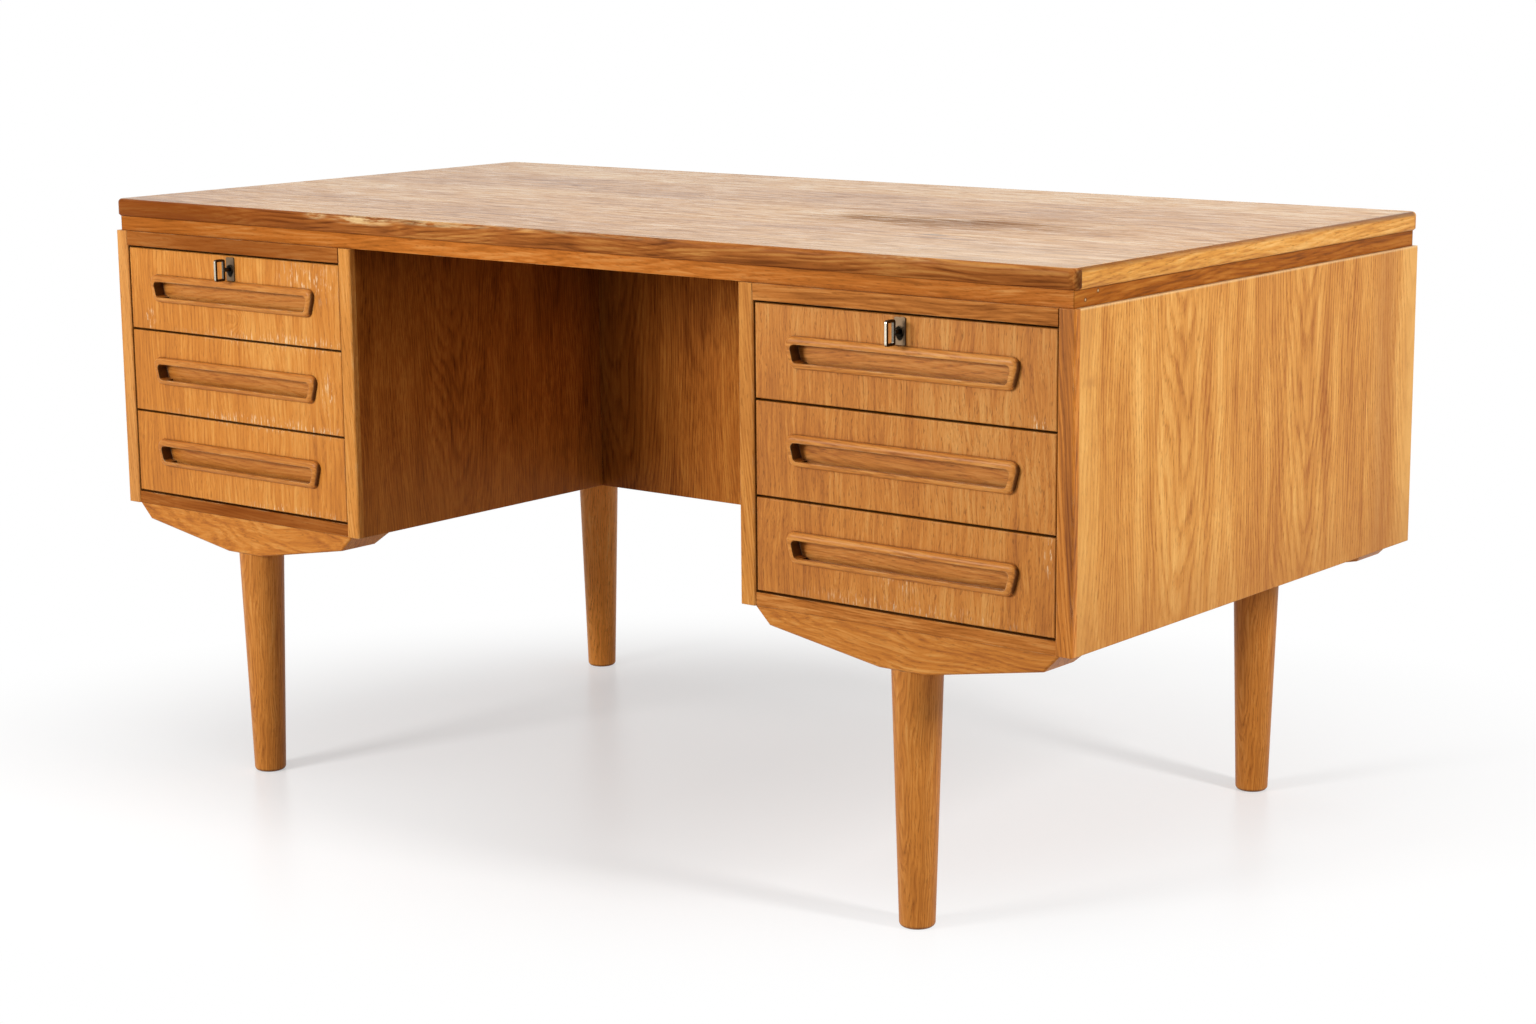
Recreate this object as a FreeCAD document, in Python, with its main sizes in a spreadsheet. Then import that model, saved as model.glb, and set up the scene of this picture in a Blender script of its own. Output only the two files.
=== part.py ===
# Freestanding oak pedestal desk, in millimetres.
# X runs along the length, Y from the drawer side to the rear, Z up from the floor.
# The origin lies on the floor, midway between the key bows at the front and the rear edge.
import FreeCAD, Part
import math
import os
import re
import Sketcher

doc = FreeCAD.newDocument("Desk")
sheet = doc.addObject("Spreadsheet::Sheet", "Sizes")

SIZES = {
    # Overall
    "desk_length": 1440, "desk_depth": 735, "desk_height": 720,
    # Writing top and the frame under it
    "top_thickness": 21.5, "top_edge_round": 5, "top_lower_ease": 2, "top_corner_round": 10.5,
    "lipping_width": 11, "apron_height": 18.5, "apron_inset": 5, "apron_thickness": 22,
    # Pedestals, kneehole and rear bays
    "case_height": 350, "panel_thickness": 20, "panel_edge_ease": 1.5, "pedestal_width": 424,
    "kneehole_depth": 442, "modesty_thickness": 16, "divider_thickness": 16, "bottom_thickness": 15,
    "board_setback": 2,
    "rail_height": 18, "rail_depth": 70, "shelf_thickness": 18, "shelf_level": 165, "shelf_setback": 14,
    "housing_depth": 6,
    # Bearers and legs
    "bearer_length": 392, "bearer_depth": 72, "bearer_setback": 4, "bearer_drop": 45,
    "bearer_end_drop": 20, "bearer_end_cut": 20, "bearer_flat": 60, "bearer_back_cut": 16,
    "bearer_edge_ease": 1.5, "leg_top_radius": 28, "leg_foot_radius": 19.7, "leg_foot_ease": 3,
    "leg_from_face": 29, "rear_leg_spread": 28, "tenon_radius": 14, "tenon_length": 34, "tenon_clearance": 0.1,
    # Drawers
    "drawer_gap": 2.5, "front_side_gap": 1.5, "front_thickness": 20, "front_edge_ease": 1,
    "box_side_gap": 2, "side_thickness": 12, "side_height": 84, "side_rise": 6, "drawer_depth": 384,
    "drawer_rear_gap": 36, "tail_length": 13, "tail_width": 19, "tail_flare": 2, "back_thickness": 12,
    "back_inset": 8, "back_drop": 8, "back_housing": 4, "floor_thickness": 4, "floor_rise": 8,
    "floor_groove": 5,
    # Drawer runners
    "runner_height": 12, "runner_groove": 6, "runner_clearance": 0.3, "runner_start": 24,
    # Carved pulls
    "pull_width": 300, "pull_height": 34, "pull_end_slope": 9.5, "pull_corner": 9, "pull_seat": 12,
    "pull_proud": 7, "pull_upper_rim": 8, "pull_lower_rim": 6, "pull_end_rim": 7.5, "pull_rim_round": 5,
    "pull_recess": 15, "pull_recess_corner": 5,
    "pull_lip": 5, "pull_undercut": 3, "pull_gap": 1,
    # Locks and keys
    "plate_width": 14, "plate_height": 29, "plate_thickness": 1.5, "plate_margin": 2, "plate_round": 1.5,
    "barrel_radius": 5.5, "barrel_proud": 3, "lock_width": 34, "lock_thickness": 10, "lock_low": 12,
    "lock_wall": 1, "bit_reach": 7, "bit_length": 3, "bit_thickness": 2.5, "bit_clearance": 0.5,
    "bolt_width": 12, "bolt_thickness": 3, "bolt_height": 20, "bolt_drop": 0.5, "bolt_clearance": 0.3,
    "bolt_throw": 8, "mortise_clearance": 2, "shank_radius": 2.5, "shank_clearance": 0.1,
    "key_reach": 24, "bow_depth": 15.5, "bow_height": 27, "bow_thickness": 3, "bow_bar": 3, "bow_round": 3,
}
for row, (alias, size) in enumerate(SIZES.items(), 1):
    sheet.set(f"A{row}", alias)
    sheet.set(f"B{row}", str(size))
    sheet.setAlias(f"B{row}", alias)
doc.recompute()

DRAWERS = ("top", "middle", "bottom")
TAILS = 3
NEAR = 1e-4
SKETCH_START = 50
subparts = []

# Derived places, as formulas in the sheet's words
FACE_Y = "((key_reach - desk_depth) / 2)"
BACK_Y = "((key_reach + desk_depth) / 2)"
CASE_TOP = "(desk_height - top_thickness - apron_height)"
CASE_BASE = f"({CASE_TOP} - case_height)"
FLOOR_TOP = f"({CASE_BASE} + bottom_thickness)"
BAY_WIDTH = "(pedestal_width - 2 * panel_thickness)"
KNEEHOLE = "(desk_length - 2 * pedestal_width)"
PEDESTAL_X = "((desk_length - pedestal_width) / 2)"
FRONT_Y = f"({FACE_Y} + board_setback)"
MODESTY_Y = f"({FACE_Y} + kneehole_depth)"
DIVIDER_Y = f"({FRONT_Y} + front_thickness + drawer_depth + drawer_rear_gap)"
CENTRE_BAY_Y = f"({MODESTY_Y} + modesty_thickness)"
PEDESTAL_BAY_Y = f"({DIVIDER_Y} + divider_thickness)"
SHELF_END_Y = f"({BACK_Y} - shelf_setback)"
FRONT_WIDTH = f"({BAY_WIDTH} - 2 * front_side_gap)"
FRONT_HEIGHT = (f"((case_height - rail_height - bottom_thickness - {len(DRAWERS) + 1} * drawer_gap)"
                f" / {len(DRAWERS)})")
BOX_WIDTH = f"({BAY_WIDTH} - 2 * box_side_gap)"
PULL_TOP = f"({FRONT_HEIGHT} - plate_margin - plate_height - pull_gap)"
LOCK_DROP = "(plate_margin + plate_height / 2)"
LOCK_Z = f"({FRONT_HEIGHT} - {LOCK_DROP})"
LOCK_Y = "(front_thickness - lock_thickness)"
CAVITY_LENGTH = "(bit_length + 2 * bit_clearance)"
BOLT_Y = f"({LOCK_Y} + 2 * lock_wall + {CAVITY_LENGTH})"


def formula(text):
    return re.sub(r"[a-z_]+", lambda word: "Sizes." + word.group(), text)


def bind(thing, **formulas):
    for name, text in formulas.items():
        thing.setExpression(name, formula(text))


def place(thing, x, y, z):
    for axis, text in zip("xyz", (x, y, z)):
        thing.setExpression(f"Placement.Base.{axis}", formula(text))


def keep(thing, label):
    thing.Label = label
    subparts.append(thing)
    return thing


def new_body(name):
    return doc.addObject("PartDesign::Body", name)


def block(body, name, size, corner, kind="Additive"):
    box = body.newObject(f"PartDesign::{kind}Box", name)
    bind(box, Length=size[0], Width=size[1], Height=size[2])
    place(box, *corner)
    return box


def rod(body, name, radius, length, foot, kind="Additive", along_y=False):
    cylinder = body.newObject(f"PartDesign::{kind}Cylinder", name)
    if along_y:
        cylinder.Placement.Rotation = FreeCAD.Rotation(FreeCAD.Vector(1, 0, 0), -90)
    bind(cylinder, Radius=radius, Height=length)
    place(cylinder, *foot)
    return cylinder


def outline(body, name, plane, rings, lift="0"):
    # Closed rings of straight edges, every corner held by its two coordinates.
    # The corners start on a circle and move to their places when the sketch is solved.
    sketch = body.newObject("Sketcher::SketchObject", name)
    support = next(item for item in body.Origin.OriginFeatures if item.Role == plane)
    sketch.AttachmentSupport = [(support, "")]
    sketch.MapMode = "FlatFace"
    sketch.setExpression("AttachmentOffset.Base.z", formula(lift))
    first = 0
    for ring in rings:
        count = len(ring)
        turns = [2 * math.pi * n / count for n in range(count)]
        start = [FreeCAD.Vector(math.cos(turn), math.sin(turn)) * SKETCH_START for turn in turns]
        sketch.addGeometry([Part.LineSegment(start[n], start[(n + 1) % count]) for n in range(count)])
        sketch.addConstraint([Sketcher.Constraint("Coincident", first + n, 2, first + (n + 1) % count, 1)
                              for n in range(count)])
        for n, texts in enumerate(ring):
            for kind, text, now in zip(("DistanceX", "DistanceY"), texts, start[n]):
                held = sketch.addConstraint(Sketcher.Constraint(kind, -1, 1, first + n, 1, now))
                sketch.setExpression(f"Constraints[{held}]", formula(text))
        first += count
    return sketch


def raise_outline(body, name, sketch, length):
    pad = body.newObject("PartDesign::Pad", name)
    pad.Profile = sketch
    bind(pad, Length=length)
    return pad


def sink_outline(body, name, sketch, depth):
    pocket = body.newObject("PartDesign::Pocket", name)
    pocket.Profile = sketch
    bind(pocket, Length=depth)
    return pocket


def edges_of(shape, chosen):
    return [f"Edge{n}" for n, edge in enumerate(shape.Edges, 1) if chosen(edge, shape.BoundBox)]


def ease(body, name, size, chosen, kind="Fillet"):
    doc.recompute()
    base = body.Tip
    feature = body.newObject(f"PartDesign::{kind}", name)
    feature.Base = (base, edges_of(base.Shape, chosen))
    bind(feature, **{"Radius" if kind == "Fillet" else "Size": size})
    return feature


def spans(edge):
    size = edge.BoundBox
    return size.XLength, size.YLength, size.ZLength


def runs_along(edge, axis):
    return all((length > NEAR) == (n == axis) for n, length in enumerate(spans(edge)))


def upright(edge, whole):
    return runs_along(edge, 2)


def at_top(edge, whole):
    return edge.BoundBox.ZMin > whole.ZMax - NEAR


def at_bottom(edge, whole):
    return edge.BoundBox.ZMax < whole.ZMin + NEAR


def at_front(edge, whole):
    return edge.BoundBox.YMax < whole.YMin + NEAR


def board(label, size, corner, cuts=(), eased=True):
    body = keep(new_body(label), label)
    block(body, f"{label}_board", size, ("0", "0", "0"))
    if eased:
        ease(body, f"{label}_eased", "panel_edge_ease", upright, "Chamfer")
    for n, (cut_size, cut_corner) in enumerate(cuts, 1):
        block(body, f"{label}_housing_{n}", cut_size, cut_corner, "Subtractive")
    place(body, *corner)
    return body


def group(label, members):
    compound = keep(doc.addObject("Part::Compound", label), label)
    compound.Links = members
    return compound


def strip(name, size, corner):
    box = doc.addObject("Part::Box", name)
    bind(box, Length=size[0], Width=size[1], Height=size[2])
    place(box, *corner)
    return box


# Writing top: a veneered panel inside solid lippings, cut from one rounded slab
def make_top():
    slab = new_body("top_slab")
    block(slab, "slab_board", ("desk_length", "desk_depth", "top_thickness"), ("0", "0", "0"))
    ease(slab, "slab_corners", "top_corner_round", upright)
    ease(slab, "slab_upper_edge", "top_edge_round", at_top)
    ease(slab, "slab_lower_edge", "top_lower_ease", at_bottom, "Chamfer")
    low = ("-desk_length / 2", FACE_Y, f"{CASE_TOP} + apron_height")
    place(slab, *low)
    inner = ("desk_length - 2 * lipping_width", "desk_depth - 2 * lipping_width", "top_thickness")
    board("top_panel", inner, (f"{low[0]} + lipping_width", f"{low[1]} + lipping_width", low[2]), eased=False)
    long_size = ("desk_length", "lipping_width", "top_thickness")
    end_size = ("lipping_width", inner[1], "top_thickness")
    strips = {
        "front": (long_size, low),
        "rear": (long_size, (low[0], f"{BACK_Y} - lipping_width", low[2])),
        "left": (end_size, (low[0], f"{low[1]} + lipping_width", low[2])),
        "right": (end_size, ("desk_length / 2 - lipping_width", f"{low[1]} + lipping_width", low[2])),
    }
    lippings = []
    for name, (size, corner) in strips.items():
        lipping = doc.addObject("Part::Common", f"{name}_lipping")
        lipping.Base = slab
        lipping.Tool = strip(f"{name}_lipping_strip", size, corner)
        lippings.append(lipping)
    group("top_lippings", lippings)


# Frame under the top: four rails mitred at the corners
def make_apron():
    across = "(desk_length / 2 - apron_inset)"
    front = f"({FACE_Y} + apron_inset)"
    rear = f"({BACK_Y} - apron_inset)"
    inner = (f"({across} - apron_thickness)", f"({front} + apron_thickness)", f"({rear} - apron_thickness)")
    corners = {
        "front": [(f"-{across}", front), (across, front), (inner[0], inner[1]), (f"-{inner[0]}", inner[1])],
        "rear": [(across, rear), (f"-{across}", rear), (f"-{inner[0]}", inner[2]), (inner[0], inner[2])],
        "left": [(f"-{across}", rear), (f"-{across}", front), (f"-{inner[0]}", inner[1]),
                 (f"-{inner[0]}", inner[2])],
        "right": [(across, front), (across, rear), (inner[0], inner[2]), (inner[0], inner[1])],
    }
    rails = []
    for name, ring in corners.items():
        rail = new_body(f"{name}_apron_rail")
        sketch = outline(rail, f"{name}_apron_outline", "XY_Plane", [ring])
        raise_outline(rail, f"{name}_apron_pad", sketch, "apron_height")
        place(rail, "0", "0", CASE_TOP)
        rails.append(rail)
    group("apron_rails", rails)


# Pedestal sides, rails, boards and the rear shelves
def make_case():
    def housing(bay_y, x):
        size = ("housing_depth", f"{SHELF_END_Y} - {bay_y}", "shelf_thickness")
        return size, (x, f"{bay_y} - {FACE_Y}", "shelf_level")

    side_size = ("panel_thickness", "desk_depth", "case_height")
    far_face = "panel_thickness - housing_depth"
    sides = {
        "left_outer_side": ("-desk_length / 2", [housing(PEDESTAL_BAY_Y, far_face)]),
        "left_inner_side": (f"-{KNEEHOLE} / 2 - panel_thickness",
                            [housing(PEDESTAL_BAY_Y, "0"), housing(CENTRE_BAY_Y, far_face)]),
        "right_inner_side": (f"{KNEEHOLE} / 2",
                             [housing(CENTRE_BAY_Y, "0"), housing(PEDESTAL_BAY_Y, far_face)]),
        "right_outer_side": ("desk_length / 2 - panel_thickness", [housing(PEDESTAL_BAY_Y, "0")]),
    }
    for label, (x, cuts) in sides.items():
        board(label, side_size, (x, FACE_Y, CASE_BASE), cuts)

    rear_end = f"({BACK_Y} - board_setback)"
    bays = {
        "left": (f"(-{PEDESTAL_X})", BAY_WIDTH, PEDESTAL_BAY_Y),
        "centre": ("0", KNEEHOLE, CENTRE_BAY_Y),
        "right": (PEDESTAL_X, BAY_WIDTH, PEDESTAL_BAY_Y),
    }
    shelves = []
    dividers = []
    rails = []
    for name, (middle, width, bay_y) in bays.items():
        start = bay_y if name == "centre" else FRONT_Y
        low_x = f"{middle} - {width} / 2"
        board(f"{name}_bottom_board", (width, f"{rear_end} - {start}", "bottom_thickness"),
              (low_x, start, CASE_BASE), eased=False)
        shelf_size = (f"{width} + 2 * housing_depth", f"{SHELF_END_Y} - {bay_y}", "shelf_thickness")
        shelves.append(strip(f"{name}_shelf", shelf_size,
                             (f"{low_x} - housing_depth", bay_y, f"{CASE_BASE} + shelf_level")))
        rails.append(strip(f"{name}_rear_rail", (width, "rail_depth", "rail_height"),
                           (low_x, f"{rear_end} - rail_depth", f"{CASE_TOP} - rail_height")))
        if name == "centre":
            continue
        divider_size = (width, "divider_thickness", "case_height - bottom_thickness")
        dividers.append(strip(f"{name}_divider", divider_size, (low_x, DIVIDER_Y, FLOOR_TOP)))
        rail = new_body(f"{name}_front_rail")
        block(rail, f"{name}_rail_board", (width, "rail_depth", "rail_height"), ("0", "0", "0"))
        mortise = ("bolt_width + 2 * mortise_clearance", "bolt_thickness + 2 * mortise_clearance",
                   "bolt_throw + mortise_clearance")
        block(rail, f"{name}_rail_mortise", mortise,
              (f"({width} - bolt_width) / 2 - mortise_clearance",
               f"board_setback + {BOLT_Y} + bolt_clearance - mortise_clearance", "0"), "Subtractive")
        place(rail, low_x, FACE_Y, f"{CASE_TOP} - rail_height")
        rails.append(rail)
    board("modesty_panel", (KNEEHOLE, "modesty_thickness", "case_height"),
          (f"-{KNEEHOLE} / 2", MODESTY_Y, CASE_BASE), eased=False)
    group("drawer_dividers", dividers)
    group("rear_shelves", shelves)
    group("top_rails", rails)


# Boat-shaped bearers under the pedestals, each with a turned leg tenoned into it
def make_stand():
    half = "bearer_length / 2"

    def lower_inner(edge, whole):
        return edge.BoundBox.YMin > whole.YMax - NEAR and edge.BoundBox.ZMax < whole.ZMax - NEAR

    def lower_face(edge, whole):
        return at_front(edge, whole) and edge.BoundBox.ZMin < whole.ZMax - NEAR

    leg_height = f"({CASE_BASE} - bearer_drop)"
    leg_profile = [("0", "0"), ("leg_foot_radius", "0"), ("leg_top_radius", leg_height),
                   ("tenon_radius", leg_height), ("tenon_radius", f"{leg_height} + tenon_length"),
                   ("0", f"{leg_height} + tenon_length")]
    for row, face, inward, turn, spread in (("front", FACE_Y, "", 0, "0"),
                                            ("rear", BACK_Y, "-", 180, "rear_leg_spread")):
        for hand, sign in (("left", "-"), ("right", "")):
            name = f"{hand}_{row}"
            # The leg's place along the bearer, which is turned round at the rear
            leg_x = f"({sign}({inward}{spread}))"
            profile = [(half, "0"), (f"-{half}", "0"), (f"bearer_end_cut - {half}", "-bearer_end_drop"),
                       (f"{leg_x} - bearer_flat / 2", "-bearer_drop"),
                       (f"{leg_x} + bearer_flat / 2", "-bearer_drop"),
                       (f"{half} - bearer_end_cut", "-bearer_end_drop")]
            bearer = keep(new_body(f"{name}_bearer"), f"{name}_bearer")
            sketch = outline(bearer, f"{name}_bearer_profile", "XZ_Plane", [profile], "-bearer_depth")
            raise_outline(bearer, f"{name}_bearer_pad", sketch, "bearer_depth")
            ease(bearer, f"{name}_bearer_back_cut", "bearer_back_cut", lower_inner, "Chamfer")
            ease(bearer, f"{name}_bearer_eased", "bearer_edge_ease", lower_face, "Chamfer")
            rod(bearer, f"{name}_tenon_bore", "tenon_radius + tenon_clearance",
                "tenon_length + tenon_clearance", (leg_x, "leg_from_face", "-bearer_drop"), "Subtractive")
            bearer.Placement.Rotation = FreeCAD.Rotation(FreeCAD.Vector(0, 0, 1), turn)
            place(bearer, f"{sign}{PEDESTAL_X}", f"{face} + ({inward}bearer_setback)", CASE_BASE)

            leg = keep(new_body(f"{name}_leg"), f"{name}_leg")
            sketch = outline(leg, f"{name}_leg_profile", "XZ_Plane", [leg_profile])
            turned = leg.newObject("PartDesign::Revolution", f"{name}_leg_turned")
            turned.Profile = sketch
            turned.ReferenceAxis = (sketch, ["V_Axis"])
            ease(leg, f"{name}_leg_foot", "leg_foot_ease", at_bottom, "Chamfer")
            place(leg, f"{sign}({PEDESTAL_X} + {spread})",
                  f"{face} + ({inward}(bearer_setback + leg_from_face))", "0")


# One side of a drawer box, with its dovetails at the front end
def drawer_side(name, low_x, groove_x, inner_x):
    root = "front_thickness"
    tip = f"({root} - tail_length)"
    end = f"({root} + drawer_depth)"
    ring = [(end, "side_rise + side_height"), (end, "side_rise"), (root, "side_rise")]
    for n in range(TAILS):
        middle = f"(side_rise + {2 * n + 1} * side_height / {2 * TAILS})"
        ring += [(root, f"{middle} - tail_width / 2 + tail_flare"), (tip, f"{middle} - tail_width / 2"),
                 (tip, f"{middle} + tail_width / 2"), (root, f"{middle} + tail_width / 2 - tail_flare")]
    ring.append((root, "side_rise + side_height"))
    body = new_body(name)
    sketch = outline(body, f"{name}_outline", "YZ_Plane", [ring], low_x)
    raise_outline(body, f"{name}_pad", sketch, "side_thickness")
    block(body, f"{name}_runner_groove",
          ("runner_groove", "drawer_depth - runner_start", "runner_height + 2 * runner_clearance"),
          (groove_x, f"{root} + runner_start",
           "side_rise + side_height / 2 - runner_height / 2 - runner_clearance"), "Subtractive")
    block(body, f"{name}_floor_groove", ("floor_groove", "drawer_depth + floor_groove", "floor_thickness"),
          (f"{inner_x} * side_thickness + ({low_x}) - {inner_x} * floor_groove", f"{root} - floor_groove",
           "side_rise + floor_rise"), "Subtractive")
    block(body, f"{name}_back_housing",
          ("back_housing", "back_thickness", "side_height - floor_rise - floor_thickness - back_drop"),
          (f"{inner_x} * side_thickness + ({low_x}) - {inner_x} * back_housing",
           f"{end} - back_inset - back_thickness", "side_rise + floor_rise + floor_thickness"), "Subtractive")
    return body


# Carved pull: a raised rim round a finger recess, undercut behind the lower lip
def pull_ring(upper_rim="0", lower_rim="0", end_rim="0"):
    half = f"(pull_width / 2 - {end_rim})"
    low = f"({lower_rim} - pull_height)"
    slope = "(pull_end_slope / pull_height)"
    upper = f"({half} - {slope} * {upper_rim})"
    lower = f"({half} + {slope} * {low})"
    return [(f"-{upper}", f"-{upper_rim}"), (f"-{lower}", low), (lower, low), (upper, f"-{upper_rim}")]


def make_pull(label):
    def seat_corner(edge, whole):
        return runs_along(edge, 1)

    def recess_corner(edge, whole):
        return runs_along(edge, 1) and edge.BoundBox.YMin < whole.YMin + NEAR

    pull = keep(new_body(label), label)
    sketch = outline(pull, f"{label}_outline", "XZ_Plane", [pull_ring()], "-pull_seat")
    raise_outline(pull, f"{label}_pad", sketch, "pull_seat + pull_proud")
    ease(pull, f"{label}_corners", "pull_corner", seat_corner)
    ease(pull, f"{label}_rim", "pull_rim_round", at_front)
    hollow = pull_ring("pull_upper_rim", "pull_lower_rim", "pull_end_rim")
    sketch = outline(pull, f"{label}_recess_outline", "XZ_Plane", [hollow], "pull_proud")
    sink_outline(pull, f"{label}_recess", sketch, "pull_recess")
    ease(pull, f"{label}_recess_corners", "pull_recess_corner", recess_corner)
    width = "(pull_width - 2 * (pull_end_rim + pull_end_slope + pull_recess_corner))"
    block(pull, f"{label}_undercut", (width, "pull_recess - pull_lip", "pull_undercut"),
          (f"-{width} / 2", "pull_lip - pull_proud", "pull_lower_rim - pull_height - pull_undercut"), "Subtractive")
    return pull


# Lock: plate, barrel and case in one, with room for the key's bit and the bolt
def make_lock(label):
    lock = keep(new_body(label), label)
    block(lock, f"{label}_plate", ("plate_width", "plate_thickness", "plate_height"),
          ("-plate_width / 2", "-plate_thickness", "-plate_height / 2"))
    ease(lock, f"{label}_plate_edge", "plate_round", lambda edge, whole: runs_along(edge, 1))
    rod(lock, f"{label}_barrel", "barrel_radius", f"{LOCK_Y} + barrel_proud", ("0", "-barrel_proud", "0"),
        along_y=True)
    block(lock, f"{label}_case", ("lock_width", "lock_thickness", f"lock_low + {LOCK_DROP}"),
          ("-lock_width / 2", LOCK_Y, "-lock_low"))
    rod(lock, f"{label}_keyway", "shank_radius + shank_clearance", f"barrel_proud + {LOCK_Y} + lock_wall",
        ("0", "-barrel_proud", "0"), "Subtractive", True)
    rod(lock, f"{label}_bit_room", "bit_reach + bit_clearance", CAVITY_LENGTH,
        ("0", f"{LOCK_Y} + lock_wall", "0"), "Subtractive", True)
    channel_height = "(bolt_height + bolt_drop + bolt_clearance)"
    block(lock, f"{label}_bolt_channel",
          ("bolt_width + 2 * bolt_clearance", "bolt_thickness + 2 * bolt_clearance", channel_height),
          ("-bolt_width / 2 - bolt_clearance", BOLT_Y, f"{LOCK_DROP} - {channel_height}"), "Subtractive")
    return lock


def make_key(label):
    front = "(-key_reach - board_setback)"
    key = keep(new_body(label), label)
    block(key, f"{label}_bow", ("bow_thickness", "bow_depth", "bow_height"),
          ("-bow_thickness / 2", front, "-bow_height / 2"))
    ease(key, f"{label}_bow_corners", "bow_round", lambda edge, whole: runs_along(edge, 0))
    block(key, f"{label}_bow_hole", ("bow_thickness", "bow_depth - 2 * bow_bar", "bow_height - 2 * bow_bar"),
          ("-bow_thickness / 2", f"{front} + bow_bar", "bow_bar - bow_height / 2"), "Subtractive")
    start = f"({front} + bow_depth - bow_bar / 2)"
    bit_y = f"({LOCK_Y} + lock_wall + bit_clearance)"
    rod(key, f"{label}_shank", "shank_radius", f"{bit_y} + bit_length - {start}", ("0", start, "0"),
        along_y=True)
    block(key, f"{label}_bit", ("bit_thickness", "bit_length", "bit_reach"),
          ("-bit_thickness / 2", bit_y, "-bit_reach"))
    return key


# A drawer: front, carved pull, two dovetailed sides, back and floor, with a lock in the top one
def make_drawer(hand, sign, level, name):
    label = f"{hand}_{name}_drawer"
    steps = len(DRAWERS) - level
    spot = (f"{sign}{PEDESTAL_X}", FRONT_Y,
            f"{FLOOR_TOP} + {steps} * drawer_gap + {steps - 1} * {FRONT_HEIGHT}")
    locked = level == 0

    sides = [drawer_side(f"{label}_left_side", f"-{BOX_WIDTH} / 2", f"-{BOX_WIDTH} / 2", "1"),
             drawer_side(f"{label}_right_side", f"{BOX_WIDTH} / 2 - side_thickness",
                         f"{BOX_WIDTH} / 2 - runner_groove", "0")]
    for side in sides:
        place(side, *spot)
    both = group(f"{label}_sides", sides)

    blank = new_body(f"{label}_front_blank")
    block(blank, f"{label}_front_board", (FRONT_WIDTH, "front_thickness", FRONT_HEIGHT),
          (f"-{FRONT_WIDTH} / 2", "0", "0"))
    ease(blank, f"{label}_front_eased", "front_edge_ease", at_front, "Chamfer")
    ring = [(x, f"{PULL_TOP} + ({z})") for x, z in pull_ring()]
    sketch = outline(blank, f"{label}_pull_seat_outline", "XZ_Plane", [ring])
    sink_outline(blank, f"{label}_pull_seat", sketch, "pull_seat")

    def seat_corner(edge, whole):
        size = edge.BoundBox
        inside = size.XMin > whole.XMin + NEAR and size.XMax < whole.XMax - NEAR
        return runs_along(edge, 1) and inside

    ease(blank, f"{label}_pull_seat_corners", "pull_corner", seat_corner)
    inner_width = f"({BOX_WIDTH} - 2 * side_thickness + 2 * floor_groove)"
    block(blank, f"{label}_front_groove", (inner_width, "floor_groove", "floor_thickness"),
          (f"-{inner_width} / 2", "front_thickness - floor_groove", "side_rise + floor_rise"), "Subtractive")
    if locked:
        rod(blank, f"{label}_barrel_bore", "barrel_radius", LOCK_Y, ("0", "0", LOCK_Z), "Subtractive", True)
        block(blank, f"{label}_lock_mortise", ("lock_width", "lock_thickness", f"lock_low + {LOCK_DROP}"),
              ("-lock_width / 2", LOCK_Y, f"{LOCK_Z} - lock_low"), "Subtractive")
    place(blank, *spot)
    front = keep(doc.addObject("Part::Cut", f"{label}_front"), f"{label}_front")
    front.Base = blank
    front.Tool = both

    pull = make_pull(f"{label}_pull")
    place(pull, spot[0], spot[1], f"{spot[2]} + {PULL_TOP}")

    back_width = f"({BOX_WIDTH} - 2 * side_thickness + 2 * back_housing)"
    back_base = "side_rise + floor_rise + floor_thickness"
    back_height = "side_height - floor_rise - floor_thickness - back_drop"
    keep(strip(f"{label}_back", (back_width, "back_thickness", back_height),
               (f"{spot[0]} - {back_width} / 2",
                f"{spot[1]} + front_thickness + drawer_depth - back_inset - back_thickness",
                f"{spot[2]} + {back_base}")), f"{label}_back")
    keep(strip(f"{label}_floor", (inner_width, "drawer_depth + floor_groove", "floor_thickness"),
               (f"{spot[0]} - {inner_width} / 2", f"{spot[1]} + front_thickness - floor_groove",
                f"{spot[2]} + side_rise + floor_rise")), f"{label}_floor")

    if locked:
        for piece in (make_lock(f"{hand}_lock"), make_key(f"{hand}_key")):
            place(piece, spot[0], spot[1], f"{spot[2]} + {LOCK_Z}")
        bolt = strip(f"{hand}_lock_bolt", ("bolt_width", "bolt_thickness", "bolt_height"),
                     (f"{spot[0]} - bolt_width / 2", f"{spot[1]} + {BOLT_Y} + bolt_clearance",
                      f"{spot[2]} + {FRONT_HEIGHT} - bolt_drop - bolt_height"))
        keep(bolt, f"{hand}_lock_bolt")

    reach = "(box_side_gap + runner_groove - runner_clearance)"
    length = "(drawer_depth - runner_start - runner_clearance)"
    walls = {"left": f"{spot[0]} - {BAY_WIDTH} / 2", "right": f"{spot[0]} + {BAY_WIDTH} / 2 - {reach}"}
    runners = []
    for edge, x in walls.items():
        runners.append(strip(f"{label}_{edge}_runner", (reach, length, "runner_height"),
                             (x, f"{spot[1]} + front_thickness + runner_start + runner_clearance",
                              f"{spot[2]} + side_rise + side_height / 2 - runner_height / 2")))
    return runners


def check_model():
    for thing in doc.Objects:
        if {"Invalid", "Error"} & set(thing.State):
            raise RuntimeError(f"{thing.Label} failed: {thing.State}")
        cuts = "PartDesign::Pocket" in thing.TypeId or "PartDesign::Subtractive" in thing.TypeId
        if cuts and thing.Shape.Volume > thing.BaseFeature.Shape.Volume - NEAR:
            raise RuntimeError(f"{thing.Label} cuts nothing")
    for part in subparts:
        if part.Shape.isNull() or not part.Shape.isValid():
            raise RuntimeError(f"{part.Label} has no valid shape")


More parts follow.
